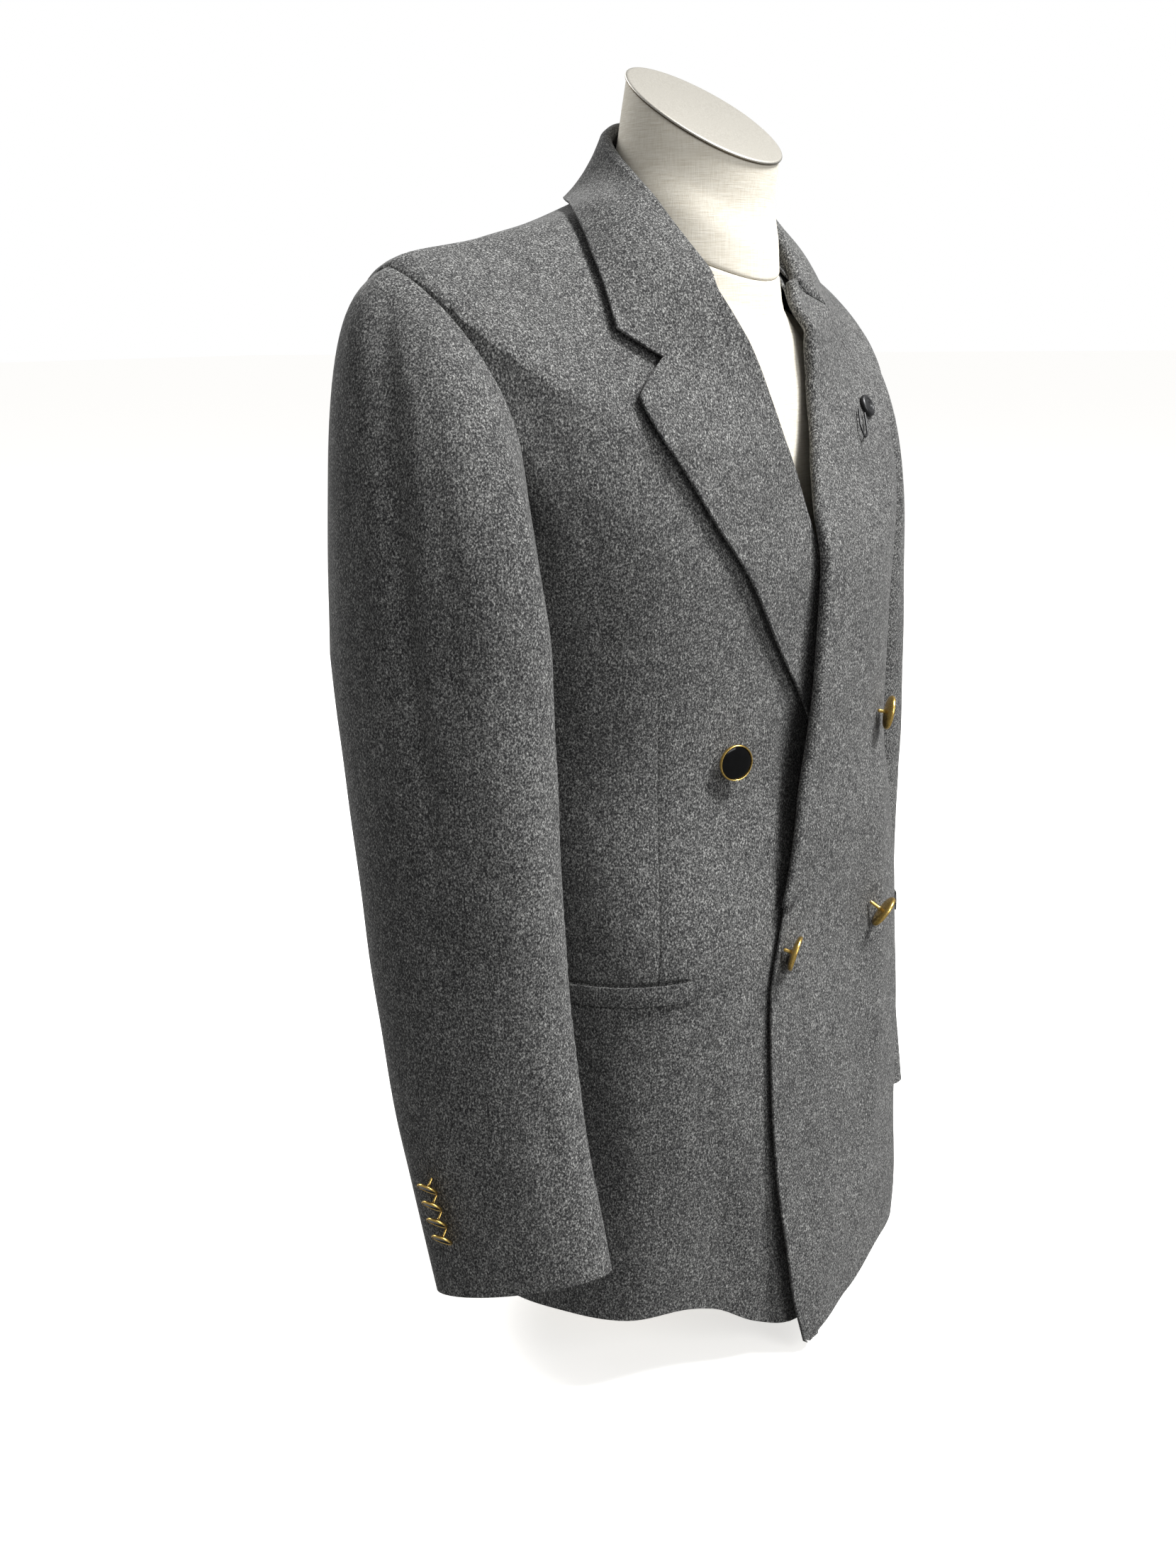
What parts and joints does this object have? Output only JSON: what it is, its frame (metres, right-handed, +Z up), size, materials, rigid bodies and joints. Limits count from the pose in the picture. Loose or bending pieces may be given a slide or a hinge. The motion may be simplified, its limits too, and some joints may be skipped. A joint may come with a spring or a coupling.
{
  "type": "double-breasted jacket on a limbless dress form",
  "caption": "Double-breasted wool jacket with notched lapels, welt pockets and gilt shank buttons, hanging open-hemmed on a limbless dress form with its own base plate.",
  "frame": {"origin": "centre of the flat underside of the dress form's base plate", "axes": "+Z up, -Y the garment's front, +X the wearer's left"},
  "size_m": [0.6044, 0.2877, 0.8706],
  "materials": {
    "flannel": "napped wool, matt",
    "linen": "plain weave, matt",
    "gilt": "satin gilt",
    "enamel": "gloss black",
    "cap_metal": "fine brushed, warm grey",
    "black_metal": "satin black",
    "wood": "satin varnish"
  },
  "bodies": {
    "root": {"back_left": "flannel", "back_right": "flannel", "button_lower_left": "gilt", "button_lower_left_enamel": "enamel", "button_lower_right": "gilt", "button_lower_right_enamel": "enamel", "button_upper_left": "gilt", "button_upper_left_enamel": "enamel", "button_upper_right": "gilt", "button_upper_right_enamel": "enamel", "collar_fall": "flannel", "collar_stand": "flannel", "cuff_button_left_1": "gilt", "cuff_button_left_1_enamel": "enamel", "cuff_button_left_2": "gilt", "cuff_button_left_2_enamel": "enamel", "cuff_button_left_3": "gilt", "cuff_button_left_3_enamel": "enamel", "cuff_button_left_4": "gilt", "cuff_button_left_4_enamel": "enamel", "cuff_button_right_1": "gilt", "cuff_button_right_1_enamel": "enamel", "cuff_button_right_2": "gilt", "cuff_button_right_2_enamel": "enamel", "cuff_button_right_3": "gilt", "cuff_button_right_3_enamel": "enamel", "cuff_button_right_4": "gilt", "cuff_button_right_4_enamel": "enamel", "form_base": "wood", "form_neck": "linen", "form_neck_cap": "cap_metal", "form_torso": "linen", "front_left": "flannel", "front_right": "flannel", "lapel_left": "flannel", "lapel_right": "flannel", "lapel_stud": "black_metal", "lapel_wire": "black_metal", "pocket_welt_left": "flannel", "pocket_welt_right": "flannel", "side_left": "flannel", "side_right": "flannel", "top_sleeve_left": "flannel", "top_sleeve_right": "flannel", "under_sleeve_left": "flannel", "under_sleeve_right": "flannel"}
  },
  "joints": []
}
